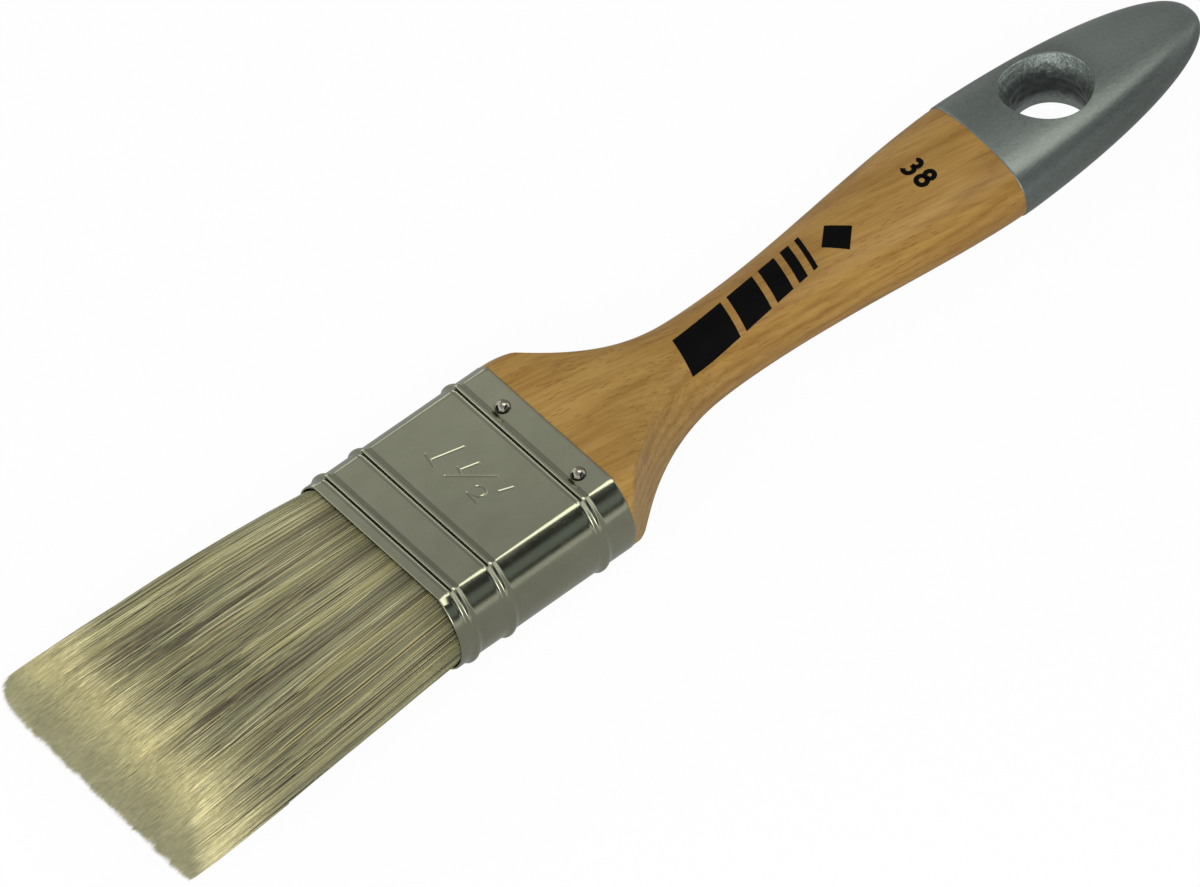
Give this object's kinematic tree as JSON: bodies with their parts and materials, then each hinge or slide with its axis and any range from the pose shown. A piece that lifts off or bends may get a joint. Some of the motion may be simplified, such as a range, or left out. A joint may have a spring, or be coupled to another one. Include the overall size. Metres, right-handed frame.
{
  "type": "flat paint brush",
  "caption": "Flat paint brush with an oval beech handle, a beaded steel ferrule held by nails, a painted handle end with a hang hole, and fanned synthetic filaments.",
  "frame": {"origin": "under the middle of the brush, level with the nail heads of its back face", "axes": "+X from the filament tips to the hang hole, +Y across the width, +Z out of the front face"},
  "size_m": [0.214, 0.045, 0.0185],
  "materials": {
    "beech": "clear varnish, satin to gloss",
    "silver_paint": "silver metallic dip paint, satin",
    "ferrule_steel": "bright rolled sheet",
    "nail_steel": "polished nickel",
    "spacer_wood": "bare sawn",
    "resin": "cured amber",
    "filament": "tapered cream and grey-brown filaments with flagged pale tips"
  },
  "bodies": {
    "root": {"handle": "beech", "handle_dip": "silver_paint", "ferrule": "ferrule_steel", "nail_front_left": "nail_steel", "nail_front_right": "nail_steel", "nail_back_left": "nail_steel", "nail_back_right": "nail_steel", "spacer": "spacer_wood", "resin": "resin", "filaments_front": "filament", "filaments_back": "filament"}
  },
  "joints": []
}
